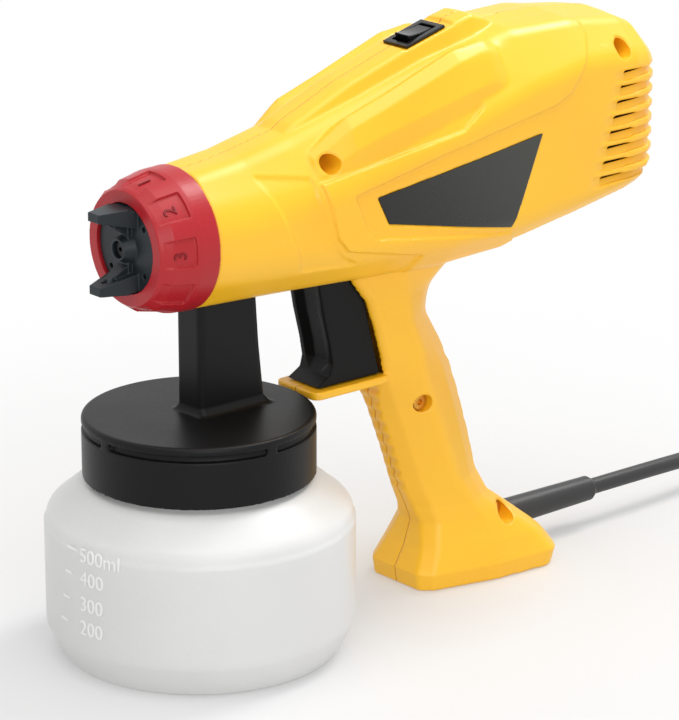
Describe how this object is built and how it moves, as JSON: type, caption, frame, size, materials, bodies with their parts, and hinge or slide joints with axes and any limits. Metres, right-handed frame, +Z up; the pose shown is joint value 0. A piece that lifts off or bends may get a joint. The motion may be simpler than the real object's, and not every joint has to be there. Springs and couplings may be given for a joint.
{
  "type": "turbine paint sprayer",
  "caption": "Hand held electric turbine paint sprayer with a screw-on cup under the nozzle, a horned air cap, a pistol grip with trigger and a mains lead.",
  "frame": {"origin": "foot of the cup's axis, on the surface that the sprayer stands on", "axes": "+X is the spray direction, +Y the operator's left, +Z up"},
  "size_m": [0.6025, 0.1481, 0.238],
  "materials": {
    "housing_plastic": "fine satin texture",
    "black_plastic": "satin",
    "plate_plastic": "smooth satin",
    "ring_plastic": "satin",
    "cap_plastic": "satin",
    "cup_plastic": "translucent satin",
    "inner_plastic": "plain",
    "rotor_plastic": "plain",
    "tube_plastic": "plain",
    "filter_foam": "open foam",
    "cord_rubber": "satin",
    "rubber_black": "plain",
    "seal_rubber": "plain",
    "bright_steel": "ground",
    "screw_steel": "plated",
    "motor_steel": "zinc plated",
    "brass_metal": "turned"
  },
  "bodies": {
    "housing": {"housing_left": "housing_plastic", "housing_right": "housing_plastic", "housing_screws": "screw_steel", "side_plate": "plate_plastic", "air_duct": "inner_plastic", "nozzle_body": "black_plastic", "paint_jet": "brass_metal", "needle_packing": "brass_metal", "needle_guide": "inner_plastic", "trigger_pin": "bright_steel", "switch_frame": "black_plastic", "motor": "motor_steel", "motor_ring_front": "rubber_black", "motor_ring_rear": "rubber_black", "turbine_casing": "inner_plastic", "air_filter": "filter_foam", "strain_relief": "cord_rubber", "lead_in_foot": "cord_rubber", "cord_clamp": "inner_plastic", "power_cord": "cord_rubber", "cord_coil": "cord_rubber", "cord_tail": "cord_rubber", "plug": "cord_rubber", "cup_lid": "black_plastic", "cup_seal": "seal_rubber", "suction_tube": "tube_plastic", "vent_valve": "seal_rubber", "ring_seal": "seal_rubber"},
    "cup": {"paint_cup": "cup_plastic"},
    "ring": {"selector_ring": "ring_plastic"},
    "cap": {"air_cap": "cap_plastic"},
    "trigger": {"trigger": "black_plastic"},
    "needle": {"needle": "bright_steel", "needle_spring": "bright_steel"},
    "rocker": {"rocker": "black_plastic"},
    "turbine": {"turbine_rotor": "rotor_plastic"},
    "hatch": {"filter_cover": "housing_plastic"}
  },
  "joints": [
    {"name": "cup_turn", "type": "hinge", "parent": "housing", "child": "cup", "pos_m": [0, 0, 0.08], "axis": [0, 0, -1], "range_deg": [0, 360]},
    {"name": "ring_turn", "type": "hinge", "parent": "housing", "child": "ring", "pos_m": [0.02, 0, 0.1692], "axis": [1, 0, 0], "range_deg": [0, 80]},
    {"name": "cap_turn", "type": "hinge", "parent": "housing", "child": "cap", "pos_m": [0.03, 0, 0.1692], "axis": [1, 0, 0], "range_deg": [0, 90]},
    {"name": "trigger_pull", "type": "hinge", "parent": "housing", "child": "trigger", "pos_m": [-0.05, 0, 0.184], "axis": [0, 1, 0], "range_deg": [0, 6], "stiffness_Nm_per_rad": 4, "springref_deg": -5.73},
    {"name": "needle_slide", "type": "slide", "parent": "housing", "child": "needle", "axis": [-1, 0, 0], "range_m": [0, 0.0025], "deforming": ["needle_spring"]},
    {"name": "rocker_tilt", "type": "hinge", "parent": "housing", "child": "rocker", "pos_m": [-0.11142, 0, 0.2281], "axis": [0, 1, 0], "range_deg": [0, 16]},
    {"name": "turbine_spin", "type": "hinge", "parent": "housing", "child": "turbine", "pos_m": [-0.172, 0, 0.186], "axis": [1, 0, 0], "continuous": true},
    {"name": "hatch_open", "type": "hinge", "parent": "housing", "child": "hatch", "pos_m": [-0.21302, 0, 0.15846], "axis": [0, 1, 0], "range_deg": [0, 75]}
  ],
  "couplings": [
    {"joint": "needle_slide", "follows": "trigger_pull", "m_per_rad": 0.02}
  ]
}
